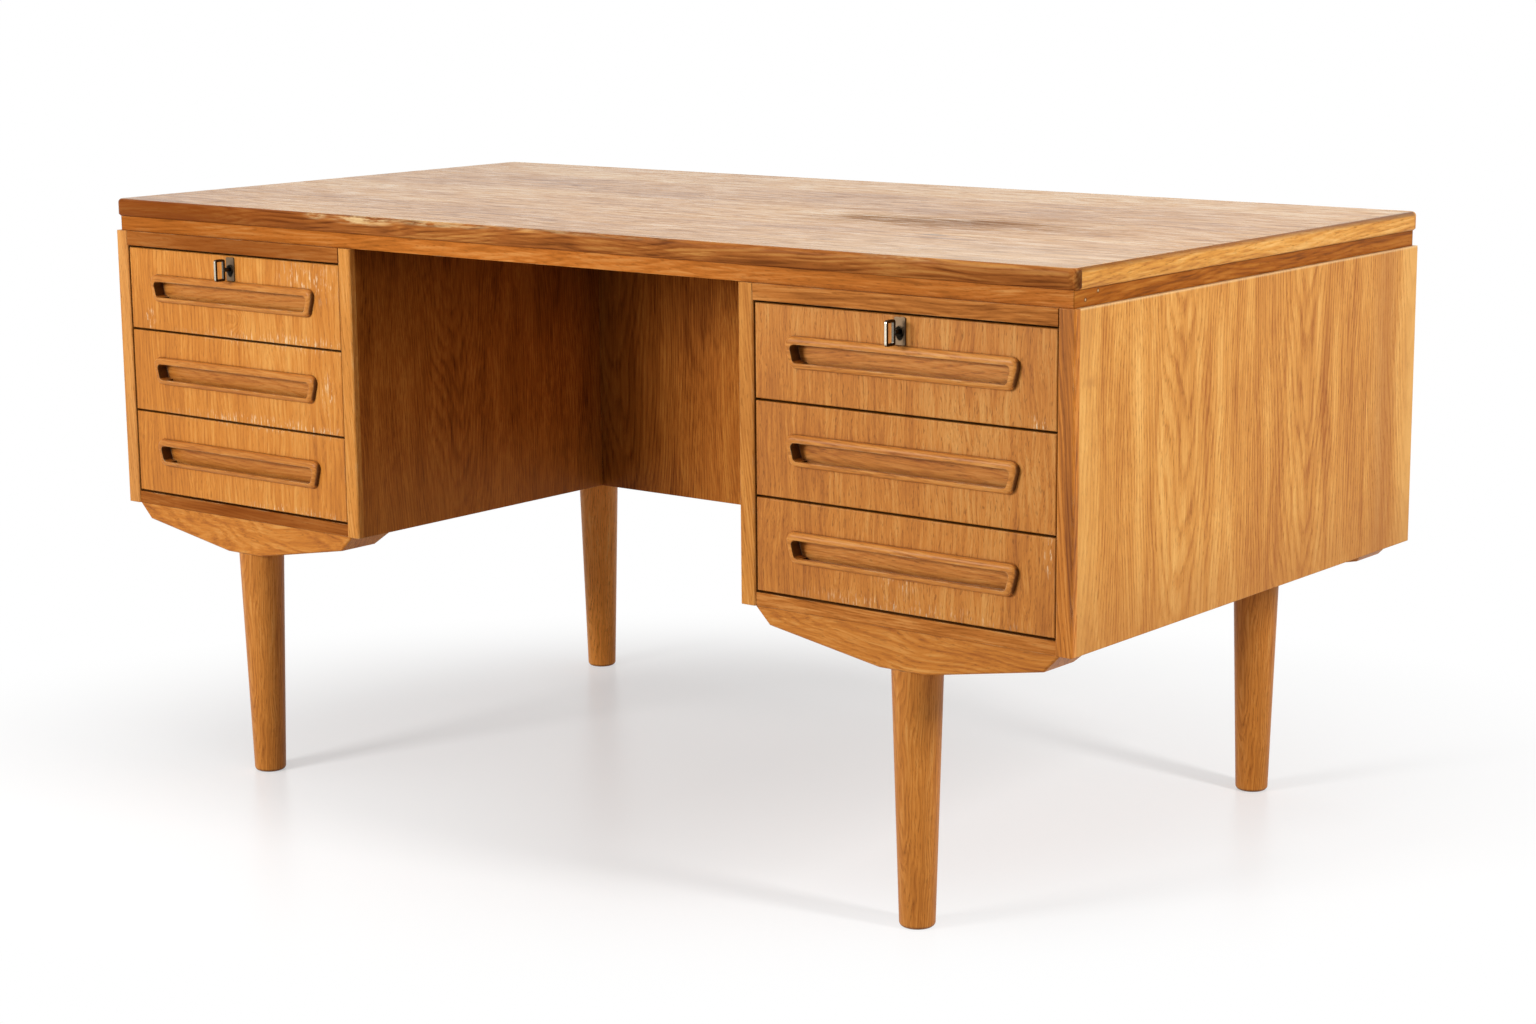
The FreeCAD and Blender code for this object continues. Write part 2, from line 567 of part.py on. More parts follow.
make_top()
make_apron()
make_case()
make_stand()
runners = []
for hand, sign in (("left", "-"), ("right", "")):
    for level, name in enumerate(DRAWERS):
        runners += make_drawer(hand, sign, level, name)
group("drawer_runners", runners)
doc.recompute()
check_model()

os.makedirs("parts", exist_ok=True)
for part in subparts:
    part.Shape.exportStep(f"parts/{part.Label}.step")
print(len(subparts), "sub-parts written")
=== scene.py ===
import math
import bmesh
import bpy
from mathutils import Matrix, Vector


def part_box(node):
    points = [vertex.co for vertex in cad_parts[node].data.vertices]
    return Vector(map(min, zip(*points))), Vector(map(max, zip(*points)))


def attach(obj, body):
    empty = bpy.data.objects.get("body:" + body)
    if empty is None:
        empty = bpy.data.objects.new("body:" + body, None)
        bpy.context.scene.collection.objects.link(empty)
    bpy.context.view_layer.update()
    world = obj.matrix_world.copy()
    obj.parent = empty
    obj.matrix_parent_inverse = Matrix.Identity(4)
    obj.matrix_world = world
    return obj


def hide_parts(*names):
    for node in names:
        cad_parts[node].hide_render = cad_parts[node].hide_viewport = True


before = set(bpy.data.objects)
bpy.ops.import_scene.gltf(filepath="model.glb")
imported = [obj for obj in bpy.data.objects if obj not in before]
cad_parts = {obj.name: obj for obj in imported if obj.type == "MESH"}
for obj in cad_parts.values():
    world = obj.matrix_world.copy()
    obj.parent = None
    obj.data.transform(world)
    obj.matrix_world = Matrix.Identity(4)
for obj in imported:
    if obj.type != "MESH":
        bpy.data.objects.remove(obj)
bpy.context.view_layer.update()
mm = 0.001
weld = mm / 100  # points closer than this are one
crease = math.radians(30)  # sharper edges stay sharp
print("desk frame loaded:", len(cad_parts), "pieces")


def hexColor(text):  # sRGB hex to linear
    channels = [int(text[n:n + 2], 16) / 255 for n in (1, 3, 5)]
    linear = [c / 12.92 if c <= 0.04045 else ((c + 0.055) / 1.055) ** 2.4 for c in channels]
    return (*linear, 1.0)


# settings and links go by an input's name, or by its number where names repeat
def addNode(tree, kind, settings=None, links=None):
    node = tree.nodes.new("ShaderNode" + kind)
    for name, value in (settings or {}).items():
        if name == "stops":
            ramp = node.color_ramp.elements
            while len(ramp) < len(value):
                ramp.new(1.0)
            for stop, (position, level) in zip(ramp, value):
                stop.position = position
                stop.color = hexColor(level) if isinstance(level, str) else (level, level, level, 1.0)
        elif isinstance(name, int) or name in node.inputs:
            node.inputs[name].default_value = value
        else:
            setattr(node, name, value)
    for name, source in (links or {}).items():
        tree.links.new(source if hasattr(source, "is_linked") else source.outputs[0], node.inputs[name])
    return node


def newMaterial(name):
    material = bpy.data.materials.new(name)
    material.use_nodes = True
    material.node_tree.nodes.clear()
    return material, material.node_tree


def tinted(tree, color, tone, mask, share=1.0):  # lays a tone over a colour, as far as the mask shows
    amount = addNode(tree, "Math", {"operation": "MULTIPLY", 1: share}, {0: mask})
    return addNode(tree, "Mix", {"data_type": "RGBA", 7: hexColor(tone)}, {0: amount, 6: color}).outputs[2]


def spotMask(tree, place, center, size):
    # 1 in the middle of an ellipse given in millimetres, 0 outside it; a size of 0 has no end that way
    scale = [1 / (s * mm) if s else 0 for s in size]
    inside = addNode(tree, "Mapping", {"Scale": scale, "Location": [-c * mm * s for c, s in zip(center, scale)]},
                     {"Vector": place})
    away = addNode(tree, "VectorMath", {"operation": "LENGTH"}, {0: inside}).outputs["Value"]
    return addNode(tree, "MapRange", {"interpolation_type": "SMOOTHSTEP", "From Min": 1.0, "From Max": 0.0},
                   {"Value": away})


streaks = {"size": (240, 40, 1000), "shift": (480, 70, 0)}  # millimetres


def streakedPlace(tree, place):  # shifted about, so that a spot gets tongues along the grain
    squeeze = [1 / (s * mm) for s in streaks["size"]]
    squeezed = addNode(tree, "VectorMath", {"operation": "MULTIPLY", 1: squeeze}, {0: place})
    noise = addNode(tree, "TexNoise", {"Scale": 1.0, "Detail": 3.0}, {"Vector": squeezed}).outputs["Color"]
    aside = addNode(tree, "VectorMath", {"operation": "SUBTRACT", 1: (0.5, 0.5, 0.5)}, {0: noise})
    shift = [s * mm for s in streaks["shift"]]
    return addNode(tree, "VectorMath", {"operation": "MULTIPLY_ADD", 1: shift}, {0: aside, 2: place}).outputs[0]


def meshPiece(name, bm, material, body):
    mesh = bpy.data.meshes.new(name)
    bm.to_mesh(mesh)
    bm.free()
    for face in mesh.polygons:
        face.use_smooth = True
    mesh.set_sharp_from_angle(angle=crease)
    mesh.materials.append(material)
    piece = bpy.data.objects.new(name, mesh)
    bpy.context.scene.collection.objects.link(piece)
    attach(piece, body)
    return piece


def finishNodes(material, chosen):  # CAD pieces keep their shape and take a better finish
    for name in [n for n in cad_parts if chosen(n)]:
        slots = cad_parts[name].data.materials
        slots.clear()
        slots.append(material)


# wood under old satin lacquer: growth rings, open pores, colour bands along the grain,
# arrises rubbed pale, and grime with painted shade in joints and corners

woodGrain = {  # sizes in millimetres, as width across and length along the grain
    "tones": ("#a55f24", "#cd873c", "#e4ac62"), "pore": "#74410f", "worn": "#e8c896", "grimeAndShade": "#2e1404",
    "along": "z", "across": "x", "heart": (0, 0, 0), "heartDepth": 70, "tilt": 3, "leaf": 0, "leafTone": 0.25,
    "ringWidth": 3.2, "ring": 0.17, "rippleSize": (7, 80), "ripple": 0.7,
    "fibreSize": (2.6, 70), "fibre": 0.5,
    "bandSize": (15, 380), "band": 0.5,
    "cloudSize": (140, 380), "cloud": 0.3,
    "poreSize": (1.2, 10), "pores": 0.35, "latePores": 0.4,  # pores are drawn wider than life so that they show
    "swaySize": (95, 420), "sway": 30,
    "knots": (), "marks": None,
    "roughness": 0.42, "shineSpread": 0.16, "poreRough": 0.2, "dull": (), "gloss": 0.2,
    "bump": 0.15, "bumpDepth": 0.3, "poreDepth": 0.6,
    "rubWidth": 1.4, "rub": 0.55, "rubPatch": 26, "grimeShadeReach": 8, "grimeShadeDepth": 0.6,
    "edgeTones": None, "edgeBand": 9, "endGrain": 0.0, "endTone": "#1d0c03",
}
woodRanges = {  # where each trait begins to show, and where it shows in full
    "pore": {"From Min": 0.55, "From Max": 0.68}, "endCut": {"From Min": 0.62, "From Max": 0.88},
    "arris": {"From Min": 0.97, "From Max": 0.8}, "rubbed": {"From Min": 0.48, "From Max": 0.66},
    "corner": {"From Min": 0.72, "From Max": 0.3}, "dulled": {"From Min": 0.62, "From Max": 0.4},
}
earlyWood = {"stops": [(0.0, 1.0), (0.15, 0.8), (0.4, 0.15), (0.8, 0.0), (1.0, 1.0)]}  # across a year's ring
earlyMean = 0.33
axisOf = {"x": Vector((1, 0, 0)), "y": Vector((0, 1, 0)), "z": Vector((0, 0, 1))}


def woodMaterial(name, changes):
    look = {**woodGrain, **changes}
    material, tree = newMaterial(name)
    along, across = axisOf[look["along"]], axisOf[look["across"]]
    turn = Matrix.Rotation(math.radians(look["tilt"]), 3, "X") @ Matrix((across, along.cross(across), along))
    shift = Vector((0, look["heartDepth"], 0)) - turn @ Vector(look["heart"])
    place = addNode(tree, "TexCoord").outputs["Object"]
    # millimetres: X across the grain, Y into the log, Z along the grain
    grain = addNode(tree, "Mapping", {"Scale": (1 / mm, 1 / mm, 1 / mm), "Rotation": turn.to_euler(),
                                      "Location": shift}, {"Vector": place})

    def stretchedNoise(source, size, detail):
        squeeze = (1 / size[0], 1 / size[0], 1 / size[1])
        squeezed = addNode(tree, "VectorMath", {"operation": "MULTIPLY", 1: squeeze}, {0: source})
        return addNode(tree, "TexNoise", {"Scale": 1.0, "Detail": detail, "Roughness": 0.6}, {"Vector": squeezed})

    board = grain
    if look["leaf"]:  # veneer leaves laid side by side, each with nearly the same figure
        half, far = look["leaf"] / 2, 1e5  # nothing wraps as far out as that
        board = addNode(tree, "VectorMath", {"operation": "WRAP", 1: (half, far, far), 2: (-half, -far, -far)},
                        {0: grain})
    swayNoise = stretchedNoise(grain, look["swaySize"], detail=2)
    swayed = addNode(tree, "VectorMath", {"operation": "MULTIPLY_ADD", 1: (look["sway"], look["sway"], 0)},
                     {0: swayNoise.outputs["Color"], 2: board})
    flat = addNode(tree, "VectorMath", {"operation": "MULTIPLY", 1: (1, 1, 0)}, {0: swayed})
    fromHeart = addNode(tree, "VectorMath", {"operation": "LENGTH"}, {0: flat}).outputs["Value"]
    for center, size, swell in look["knots"]:  # the rings swell round a knot
        fromHeart = addNode(tree, "Math", {"operation": "MULTIPLY_ADD", 1: swell},
                            {0: spotMask(tree, place, center, size), 2: fromHeart})
    ripple = addNode(tree, "Math", {"operation": "MULTIPLY", 1: look["ripple"]},
                     {0: stretchedNoise(swayed, look["rippleSize"], detail=2)})
    years = addNode(tree, "Math", {"operation": "MULTIPLY_ADD", 1: 1 / look["ringWidth"]},
                    {0: fromHeart, 2: ripple})
    ring = addNode(tree, "Math", {"operation": "FRACT"}, {0: years})
    early = addNode(tree, "ValToRGB", earlyWood, {"Fac": ring})
    fibre = stretchedNoise(swayed, look["fibreSize"], detail=3)
    band = stretchedNoise(swayed, look["bandSize"], detail=2)
    cloud = stretchedNoise(grain, look["cloudSize"], detail=2)
    # each noise averages a half, and so does the figure that they add up to
    ground = 0.5 - look["fibre"] - look["band"] - look["cloud"] + look["ring"] * earlyMean
    figure = addNode(tree, "Math", {"operation": "MULTIPLY_ADD", 1: 2 * look["fibre"], 2: ground}, {0: fibre})
    for part, share in ((band, 2 * look["band"]), (cloud, 2 * look["cloud"]), (early, -look["ring"])):
        figure = addNode(tree, "Math", {"operation": "MULTIPLY_ADD", 1: share}, {0: part, 2: figure})
    if look["leaf"]:  # one leaf is a little darker than the next
        sideways = addNode(tree, "SeparateXYZ", {}, {0: grain}).outputs["X"]
        step = addNode(tree, "Math", {"operation": "DIVIDE", 1: look["leaf"]}, {0: sideways})
        leafNumber = addNode(tree, "Math", {"operation": "ROUND"}, {0: step})
        leafTone = addNode(tree, "TexWhiteNoise", {"noise_dimensions": "1D"}, {"W": leafNumber}).outputs["Value"]
        aside = addNode(tree, "Math", {"operation": "SUBTRACT", 1: 0.5}, {0: leafTone})
        figure = addNode(tree, "Math", {"operation": "MULTIPLY_ADD", 1: look["leafTone"]}, {0: aside, 2: figure})

    dashes = stretchedNoise(swayed, look["poreSize"], detail=1)
    pores = addNode(tree, "MapRange", woodRanges["pore"], {"Value": dashes})
    earlyPores = addNode(tree, "Math", {"operation": "MULTIPLY"}, {0: pores, 1: early})
    poreMask = addNode(tree, "Math", {"operation": "MULTIPLY_ADD", 1: look["latePores"]}, {0: pores, 2: earlyPores})
    poreTint = addNode(tree, "Math", {"operation": "MULTIPLY", 1: look["pores"], "use_clamp": True}, {0: poreMask})

    def toned(tones):
        ramp = addNode(tree, "ValToRGB", {"stops": list(zip((0.0, 0.5, 1.0), tones))}, {"Fac": figure})
        return tinted(tree, ramp, look["pore"], poreTint)

    color = toned(look["tones"])
    if look["marks"]:
        color = look["marks"](tree, place, color, fibre)
    if look["edgeTones"]:  # solid lipping glued to the front edge of a panel
        depth = addNode(tree, "SeparateXYZ", {}, {0: place}).outputs["Y"]
        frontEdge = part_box("right_outer_side")[0].y + look["edgeBand"] * mm
        edge = addNode(tree, "Math", {"operation": "LESS_THAN", 1: frontEdge}, {0: depth})
        edgeColor = toned(look["edgeTones"])
        color = addNode(tree, "Mix", {"data_type": "RGBA"}, {0: edge, 6: color, 7: edgeColor}).outputs[2]

    eased = addNode(tree, "Bevel", {"samples": 4, "Radius": look["rubWidth"] * mm})
    facing = addNode(tree, "NewGeometry").outputs["Normal"]
    if look["endGrain"]:  # cut across the grain, wood drinks the finish and goes dark
        cut = addNode(tree, "VectorMath", {"operation": "DOT_PRODUCT", 1: along}, {0: facing}).outputs["Value"]
        cutSize = addNode(tree, "Math", {"operation": "ABSOLUTE"}, {0: cut})
        endCut = addNode(tree, "MapRange", woodRanges["endCut"], {"Value": cutSize})
        color = tinted(tree, color, look["endTone"], endCut, look["endGrain"])
    match = addNode(tree, "VectorMath", {"operation": "DOT_PRODUCT"}, {0: eased, 1: facing}).outputs["Value"]
    arris = addNode(tree, "MapRange", woodRanges["arris"], {"Value": match})
    patches = stretchedNoise(grain, (look["rubPatch"], look["rubPatch"]), detail=3)
    rubbed = addNode(tree, "MapRange", woodRanges["rubbed"], {"Value": patches})
    handled = addNode(tree, "Math", {"operation": "MULTIPLY"}, {0: arris, 1: rubbed})
    color = tinted(tree, color, look["worn"], handled, look["rub"])
    # painted shade: colour darkens where other surfaces are near, in joints, corners and recesses, for grime and
    # for shade
    shelter = addNode(tree, "AmbientOcclusion", {"samples": 4, "Distance": look["grimeShadeReach"] * mm}).outputs["AO"]
    corner = addNode(tree, "MapRange", woodRanges["corner"], {"Value": shelter})
    color = tinted(tree, color, look["grimeAndShade"], corner, look["grimeShadeDepth"])

    spread = look["shineSpread"]
    rough = addNode(tree, "Math", {"operation": "MULTIPLY_ADD", 1: spread, 2: look["roughness"] - spread / 2},
                    {0: fibre})
    rough = addNode(tree, "Math", {"operation": "MULTIPLY_ADD", 1: look["poreRough"]}, {0: poreTint, 2: rough})
    if look["dull"]:  # lacquer gone, so less shine
        ragged = streakedPlace(tree, place)
        dulled = addNode(tree, "MapRange", woodRanges["dulled"], {"Value": fibre})
        for center, size, share in look["dull"]:
            spot = spotMask(tree, ragged, center, size)
            mask = addNode(tree, "Math", {"operation": "MULTIPLY"}, {0: spot, 1: dulled})
            rough = addNode(tree, "Math", {"operation": "MULTIPLY_ADD", 1: share}, {0: mask, 2: rough})
    height = addNode(tree, "Math", {"operation": "MULTIPLY_ADD", 1: -look["poreDepth"]}, {0: poreMask, 2: fibre})
    relief = addNode(tree, "Bump", {"Strength": look["bump"], "Distance": look["bumpDepth"] * mm},
                     {"Height": height, "Normal": eased})
    shader = addNode(tree, "BsdfPrincipled", {"IOR": 1.5, "Specular IOR Level": look["gloss"]},
                     {"Base Color": color, "Roughness": rough, "Normal": relief})
    addNode(tree, "OutputMaterial", {}, {"Surface": shader})
    return material


def splitNode(node, body, sortPoint, materials):
    # one piece for each solid of a group, so that its grain can run its own way;
    # a point half a millimetre inside a face tells which solid the face is on
    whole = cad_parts[node].data
    for name, material in materials.items():
        bm = bmesh.new()
        bm.from_mesh(whole)
        others = [f for f in bm.faces if sortPoint(f.calc_center_median() - f.normal * mm / 2) != name]
        bmesh.ops.delete(bm, geom=others, context="FACES")
        bmesh.ops.remove_doubles(bm, verts=bm.verts, dist=weld)
        piece = meshPiece(name, bm, material, body)
        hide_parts(node)


# veneered panels

topMarksAndSheen = {"stain": ((385, -30, 720), (270, 115, 0)), "stainCore": ((350, -28, 720), (170, 72, 0)),
            "knot": ((413, -159, 720), (26, 8, 0)), "dash": ((523, 43, 720), (14, 3.5, 0)),
            "stainTone": "#8a5a2c", "stainCoreTone": "#724618", "knotTone": "#4f2c0c",
            # painted sheen: the near right part of the top is paler
            "pale": [((560, -330, 720), (520, 260, 0), "#f0d2aa", 0.3)],
            "streaky": {"From Min": 0.6, "From Max": 0.42, "To Min": 0.3}}
# the near end's marks: a dark spot and bands of figure, the darker foot at 330 mm partly painted shade, and a
# painted highlight along the top edge at 680 mm
sideMarksAndLight = [((720, -327, 605), (0, 16, 9), "#a45f22", 0.6), ((720, 304, 0), (0, 44, 0), "#a45f22", 0.5),
             ((720, 374, 0), (0, 38, 0), "#e3ab5f", 0.7), ((720, -340, 0), (0, 44, 0), "#e3ab5f", 0.4),
             ((720, 0, 330), (0, 0, 110), "#ad6c2a", 0.4), ((720, 0, 680), (0, 0, 3), "#f4d8a8", 0.45)]


# every mark takes the same four things, so that woodMaterial can call any of them
def toneSpots(spots):  # parts of a board that are darker or paler than the rest: some the wood's own tone, some painted light and shade
    def mark(tree, place, color, fibre):
        for center, size, tone, share in spots:
            color = tinted(tree, color, tone, spotMask(tree, place, center, size), share)
        return color
    return mark


def stainedTopWithSheen(tree, place, color, fibre):
    streaky = addNode(tree, "MapRange", topMarksAndSheen["streaky"], {"Value": fibre})
    ragged = streakedPlace(tree, place)
    for name in ("stain", "stainCore"):
        spot = spotMask(tree, ragged, *topMarksAndSheen[name])
        mask = addNode(tree, "Math", {"operation": "MULTIPLY"}, {0: spot, 1: streaky})
        color = tinted(tree, color, topMarksAndSheen[name + "Tone"], mask)
    for name in ("knot", "dash"):
        color = tinted(tree, color, topMarksAndSheen["knotTone"], spotMask(tree, place, *topMarksAndSheen[name]))
    # painted sheen near the front right
    return toneSpots(topMarksAndSheen["pale"])(tree, place, color, fibre)


chips = {  # places where the veneer is chipped: middle, half sizes, share of bare wood
    "left": (((-420, 0, 559), (240, 0, 14), 0.9), ((-440, 0, 455), (260, 0, 13), 0.9),
             ((-370, 0, 636), (75, 0, 42), 0.7), ((-342, 0, 500), (16, 0, 40), 0.9),
             ((-664, 0, 571), (14, 0, 26), 0.9), ((-410, 0, 350), (150, 0, 10), 0.7)),
    "right": (((691, 0, 430), (9, 0, 30), 0.9), ((520, 0, 352), (200, 0, 16), 0.5),
              ((675, 0, 562), (24, 0, 12), 0.8), ((505, 0, 380), (40, 0, 18), 0.6)),
    "tone": "#efd6ad", "flake": (2.6, 17), "lean": 9, "loose": {"From Min": 0.56, "From Max": 0.63},
}


def chippedFronts(hand):
    def mark(tree, place, color, fibre):
        wide, tall = (s * mm for s in chips["flake"])
        stretch = addNode(tree, "Mapping", {"Scale": (1 / wide, 1 / wide, 1 / tall),
                                            "Rotation": (0, math.radians(chips["lean"]), 0)}, {"Vector": place})
        flakes = addNode(tree, "TexNoise", {"Scale": 1.0, "Detail": 3.0, "Roughness": 0.65}, {"Vector": stretch})
        loose = addNode(tree, "MapRange", chips["loose"], {"Value": flakes})
        for center, size, share in chips[hand]:
            spot = spotMask(tree, place, center, size)
            mask = addNode(tree, "Math", {"operation": "MULTIPLY"}, {0: spot, 1: loose})
            color = tinted(tree, color, chips["tone"], mask, share)
        return color
    return mark


veneer = "oak veneer, sliced and lacquered, "
rightFrontsLook = {  # straight grain with dark pores under amber lacquer, chipped pale along the lower edges
    "tones": ("#9a561d", "#c57c31", "#dba056"), "heart": (900, -353, 500), "heartDepth": 240, "tilt": 2,
    "ringWidth": 6, "ring": 0.12, "bandSize": (13, 190), "fibreSize": (2.0, 42), "fibre": 0.5, "pores": 0.5,
    "poreSize": (1.1, 8), "swaySize": (60, 170), "sway": 26, "rub": 0.7, "marks": chippedFronts("right"),
}
rightFronts = woodMaterial(veneer + "right drawers", rightFrontsLook)
leftFrontsLook = {  # like the right ones but paler gold, with a knot low on the top drawer
    "tones": ("#a15c1c", "#c87e2f", "#e2a656"), "heart": (-120, -353, 500), "heartDepth": 240, "tilt": 2,
    "ringWidth": 6, "ring": 0.16, "bandSize": (13, 190), "band": 0.4, "fibreSize": (2.4, 52), "fibre": 0.4,
    "pores": 0.3, "poreSize": (1.2, 11), "swaySize": (60, 170), "sway": 26, "rub": 0.9,
    "marks": chippedFronts("left"), "knots": (((-502, -353, 581), (26, 0, 22), 18),),
}
leftFronts = woodMaterial(veneer + "left drawers", leftFrontsLook)
nearSideLook = {  # honey brown flames in leaves side by side, with a solid strip at the front edge, partly painted shade at the foot and a painted highlight along the top
    "tones": ("#a65f1e", "#d18f41", "#ebb365"), "across": "y", "leaf": 262, "heart": (720, -132, 640),
    "heartDepth": 42, "tilt": 5, "bandSize": (20, 700), "band": 0.7, "cloud": 0.25, "ringWidth": 4.4,
    "ring": 0.25, "fibreSize": (2.2, 150), "gloss": 0.15, "rub": 0.8,
    "edgeTones": ("#85481a", "#cb7c2e", "#e2a25a"), "marks": toneSpots(sideMarksAndLight),
}
nearSide = woodMaterial(veneer + "near end", nearSideLook)
farSideLook = {  # the near end's veneer again, less rubbed
    "tones": ("#a65f1e", "#d18f41", "#ebb365"), "across": "y", "leaf": 262, "heart": (-720, -60, 560),
    "heartDepth": 42, "tilt": 5, "bandSize": (20, 700), "band": 0.75, "fibreSize": (3, 120),
    "edgeTones": ("#b06c2c", "#d08d45", "#e2a862"),
}
farSide = woodMaterial(veneer + "far end", farSideLook)
kneeSidesLook = {  # deep brown with little shine; painted shade under the top and in the corners, painted light low down
    "tones": ("#6e3308", "#aa6020", "#c87f34"), "across": "y", "leaf": 300, "heart": (-296, -170, 560),
    "heartDepth": 40, "tilt": 6, "bandSize": (20, 600), "ring": 0.2, "fibre": 0.65, "gloss": 0.08, "rub": 0.9,
    # painted shade: the wide reach darkens the corners; below, painted shade towards the top and painted light
    # towards the floor
    "grimeShadeReach": 170, "grimeShadeDepth": 0.7,
    "marks": toneSpots([((0, 0, 690), (0, 0, 220), "#3a1a04", 0.35), ((0, 0, 330), (0, 0, 130), "#d08a40", 0.25)]),
    "edgeTones": ("#b06c2c", "#cf8a40", "#e2a862"),
}
kneeSides = woodMaterial(veneer + "kneehole sides", kneeSidesLook)
kneeBackLook = {  # deep brown with little shine; painted shade in the left corner and in the other corners
    "tones": ("#713608", "#ae6523", "#cb8437"), "leaf": 300, "heart": (60, 86, 500), "heartDepth": 60, "tilt": 4,
    "bandSize": (20, 600), "ring": 0.25, "fibre": 0.65, "gloss": 0.08, "grimeShadeReach": 170, "grimeShadeDepth": 0.7,
    # painted shade where the left pedestal shades the left part
    "marks": toneSpots([((-296, 0, 0), (230, 0, 0), "#521f02", 0.35)]),
}
kneeBack = woodMaterial(veneer + "kneehole back", kneeBackLook)
shelvesLook = {  # plain honey brown
    "along": "x", "across": "y", "heart": (0, 300, 500), "heartDepth": 90,
}
shelves = woodMaterial(veneer + "shelves", shelvesLook)
topVeneerLook = {  # satin that mirrors the pale room at a low angle, with a dull stain, a knot, a dark dash and a painted sheen near the front right
    "along": "x", "across": "y", "tones": ("#8f5a24", "#d0964f", "#f0cb98"), "leaf": 190, "leafTone": 0.3,
    "heart": (0, -60, 720), "heartDepth": 80, "tilt": 2, "bandSize": (11, 260), "fibreSize": (4.5, 60),
    "band": 0.55, "fibre": 0.75, "cloudSize": (110, 280), "cloud": 0.36, "ring": 0.16, "pores": 0.5,
    "poreSize": (2.4, 14), "roughness": 0.32, "shineSpread": -0.6, "gloss": 0.5, "rub": 0.2, "marks": stainedTopWithSheen,
    "dull": ((*topMarksAndSheen["stain"], 0.3), (*topMarksAndSheen["stainCore"], 0.3)),
}
topVeneer = woodMaterial("oak veneer, sliced, satin lacquer worn thin, writing top", topVeneerLook)
finishNodes(rightFronts, lambda n: n.startswith("right") and n.endswith("_drawer_front"))
finishNodes(leftFronts, lambda n: n.startswith("left") and n.endswith("_drawer_front"))
finishNodes(nearSide, lambda n: n == "right_outer_side")
finishNodes(farSide, lambda n: n == "left_outer_side")
finishNodes(kneeSides, lambda n: n.endswith("_inner_side"))
finishNodes(kneeBack, lambda n: n in ("modesty_panel", "drawer_dividers"))
finishNodes(shelves, lambda n: n == "rear_shelves")
finishNodes(topVeneer, lambda n: n == "top_panel")
print("panels veneered")

# solid oak: lippings, sub-frame, rails, bottom boards, bearers and pulls

lipMarksAndShade = {  # bare places: middle, half sizes, share of bare wood
    "bare": (((-352, -354, 717), (26, 25, 6), 0.6), ((-272, -354, 716), (70, 25, 8.5), 0.85),
             ((-150, -354, 718), (110, 25, 6), 0.55), ((60, -352, 719), (200, 25, 4), 0.35),
             ((509, -352, 719), (70, 25, 4), 0.4)),
    "bareTone": "#dfbd88", "flake": (30, 6, 3.5), "loose": {"From Min": 0.42, "From Max": 0.58}, "fullAt": 0.6,
    # the darker left end is partly painted shade
    "dark": [((-610, 0, 0), (360, 0, 0), "#7a3902", 0.85)],
}
# each nail head sits in a dark ring of painted shadow
nailMarks = {"heads": ((715, -307, 694), (715, -330, 687)), "depth": 20, "ring": 3.6, "head": 2,
             "ringTone": "#2c1303", "headTone": "#d9b98c"}


def bareEdgeAndShade(tree, place, color, fibre):  # lacquer gone from the front arris where arms rest; the left end darkened, partly as painted shade
    stretch = addNode(tree, "Mapping", {"Scale": [1 / (s * mm) for s in lipMarksAndShade["flake"]]}, {"Vector": place})
    flakes = addNode(tree, "TexNoise", {"Scale": 1.0, "Detail": 4.0, "Roughness": 0.7}, {"Vector": stretch})
    loose = addNode(tree, "MapRange", lipMarksAndShade["loose"], {"Value": flakes})
    color = toneSpots(lipMarksAndShade["dark"])(tree, place, color, fibre)
    for center, size, share in lipMarksAndShade["bare"]:
        spot = spotMask(tree, place, center, size)
        reach = addNode(tree, "MapRange", {"From Max": lipMarksAndShade["fullAt"]}, {"Value": spot})
        mask = addNode(tree, "Math", {"operation": "MULTIPLY"}, {0: reach, 1: loose})
        color = tinted(tree, color, lipMarksAndShade["bareTone"], mask, share)
    return color


def nailedFrameShadows(tree, place, color, fibre):
    for center in nailMarks["heads"]:
        for part in ("ring", "head"):
            size = (nailMarks["depth"], nailMarks[part], nailMarks[part])
            color = tinted(tree, color, nailMarks[part + "Tone"], spotMask(tree, place, center, size))
    return color


solid = "solid oak, planed and lacquered, "
frontLipLook = {  # dark from handling and darker to the left, partly as painted shade; bare and pale where arms rest, end grain dark brown
    "along": "x", "across": "z", "tones": ("#612f0c", "#a15d27", "#c68845"), "heart": (0, -356, 600),
    "heartDepth": 160, "band": 0.8, "bandSize": (7, 260), "ring": 0.25, "gloss": 0.05, "rub": 0.4,
    "endGrain": 0.75, "endTone": "#3c1a04", "marks": bareEdgeAndShade,
}
frontLip = woodMaterial(solid + "front lipping", frontLipLook)
endLipLook = {  # honey faces with darker brown arrises and a dark band along the top arris
    "along": "y", "across": "z", "tones": ("#a8621f", "#d6943f", "#eebb70"), "heart": (720, 0, 640),
    "heartDepth": 120, "bandSize": (6, 60), "gloss": 0.15, "worn": "#9a5a22", "rub": 0.6, "rubPatch": 60,
    "marks": toneSpots([((0, 0, 721), (0, 0, 8), "#7d451a", 0.95)]),
}
endLip = woodMaterial(solid + "end lippings", endLipLook)
rearLipLook = {  # honey brown bands, without dark end grain
    "along": "x", "across": "z", "tones": ("#9e5717", "#cc8533", "#e6ab5c"), "heart": (0, 379, 600),
    "heartDepth": 160, "bandSize": (7, 260), "gloss": 0.15,
}
rearLip = woodMaterial(solid + "rear lipping", rearLipLook)
